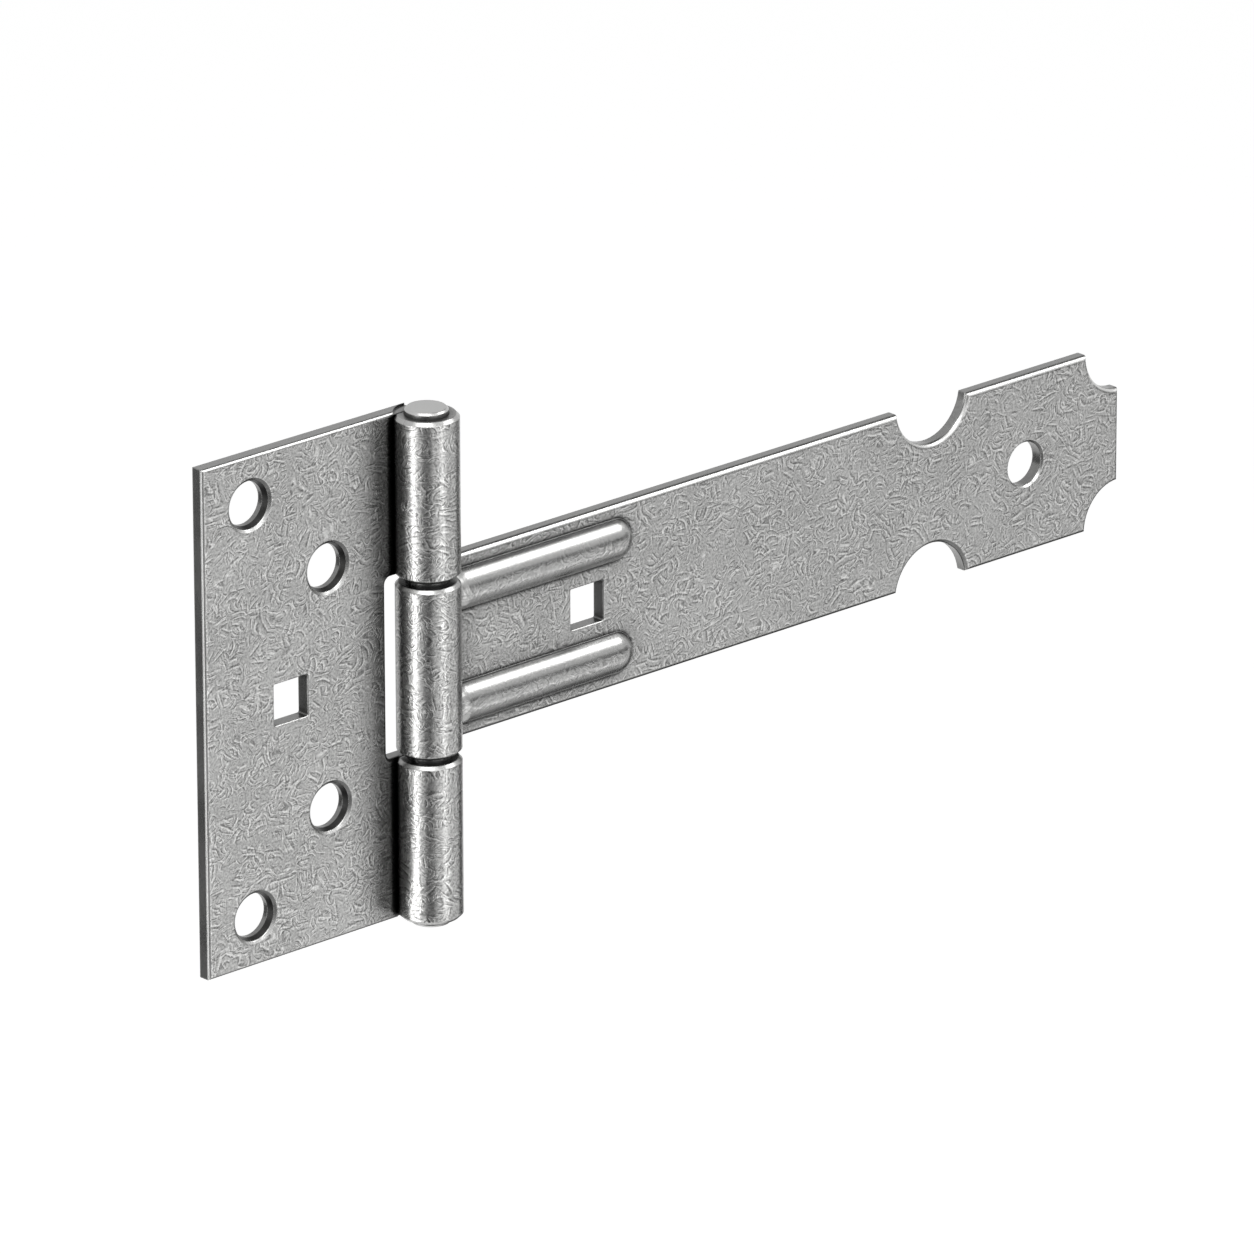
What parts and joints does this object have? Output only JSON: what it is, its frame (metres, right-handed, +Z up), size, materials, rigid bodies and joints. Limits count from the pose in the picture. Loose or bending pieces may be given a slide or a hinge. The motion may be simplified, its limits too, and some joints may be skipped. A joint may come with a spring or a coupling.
{
  "type": "tee hinge",
  "caption": "Plated steel tee hinge: a tall notched plate and a long scalloped strap with pressed beads, turning on one pin in curled eyes.",
  "frame": {"origin": "the point of the mounting plane straight behind the pin's axis, halfway up the pin", "axes": "+X along the strap away from the pin, +Y into the wall or gate that the leaves are fixed to, +Z up along the pin"},
  "size_m": [0.2565, 0.0136, 0.1118],
  "materials": {
    "zinc_sheet": "zinc plated sheet steel, satin, fine mottled grain",
    "zinc_pin": "zinc plated round bar, smooth satin"
  },
  "bodies": {
    "jamb": {"jamb_leaf": "zinc_sheet", "hinge_pin": "zinc_pin"},
    "strap": {"strap_leaf": "zinc_sheet"}
  },
  "joints": [
    {"name": "strap_swing", "type": "hinge", "parent": "jamb", "child": "strap", "pos_m": [0, -0.0068, 0], "axis": [0, 0, -1], "range_deg": [-90, 180]}
  ]
}
